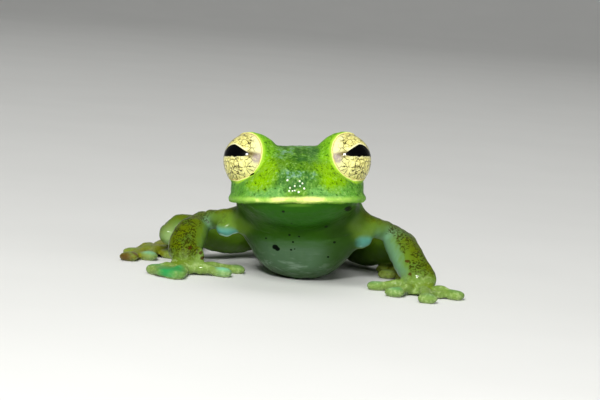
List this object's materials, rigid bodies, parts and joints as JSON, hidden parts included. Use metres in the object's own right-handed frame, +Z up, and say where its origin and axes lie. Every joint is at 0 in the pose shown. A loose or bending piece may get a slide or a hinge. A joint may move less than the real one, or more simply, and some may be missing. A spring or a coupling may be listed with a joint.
{
  "type": "frog figure",
  "caption": "Small green glass frog at life size, sitting with belly, hands and feet on a level surface, head raised and eyes forward.",
  "frame": {"origin": "middle of the belly's flat rest, on the surface that the frog sits on", "axes": "+Z up; -Y the way the frog looks; +X towards the frog's left side"},
  "size_m": [0.0262, 0.0268, 0.0116],
  "materials": {
    "head_skin": "moist, semi-gloss",
    "throat_skin": "moist, semi-gloss",
    "body_skin": "moist, semi-gloss",
    "limb_skin": "moist, semi-gloss",
    "digit_skin": "moist, semi-gloss",
    "eye": "wet gloss"
  },
  "bodies": {
    "root": {"eye_left": "eye", "eye_right": "eye", "finger_left_1": "digit_skin", "finger_left_2": "digit_skin", "finger_left_3": "digit_skin", "finger_left_4": "digit_skin", "finger_right_1": "digit_skin", "finger_right_2": "digit_skin", "finger_right_3": "digit_skin", "finger_right_4": "digit_skin", "forearm_left": "limb_skin", "forearm_right": "limb_skin", "head": "head_skin", "lower_jaw": "throat_skin", "palm_left": "digit_skin", "palm_right": "digit_skin", "shank_left": "limb_skin", "shank_right": "limb_skin", "sole_left": "digit_skin", "sole_right": "digit_skin", "tarsus_left": "limb_skin", "tarsus_right": "limb_skin", "thigh_left": "limb_skin", "thigh_right": "limb_skin", "toe_left_1": "digit_skin", "toe_left_2": "digit_skin", "toe_left_3": "digit_skin", "toe_left_4": "digit_skin", "toe_left_5": "digit_skin", "toe_right_1": "digit_skin", "toe_right_2": "digit_skin", "toe_right_3": "digit_skin", "toe_right_4": "digit_skin", "toe_right_5": "digit_skin", "torso": "body_skin", "upper_arm_left": "limb_skin", "upper_arm_right": "limb_skin"}
  },
  "joints": []
}
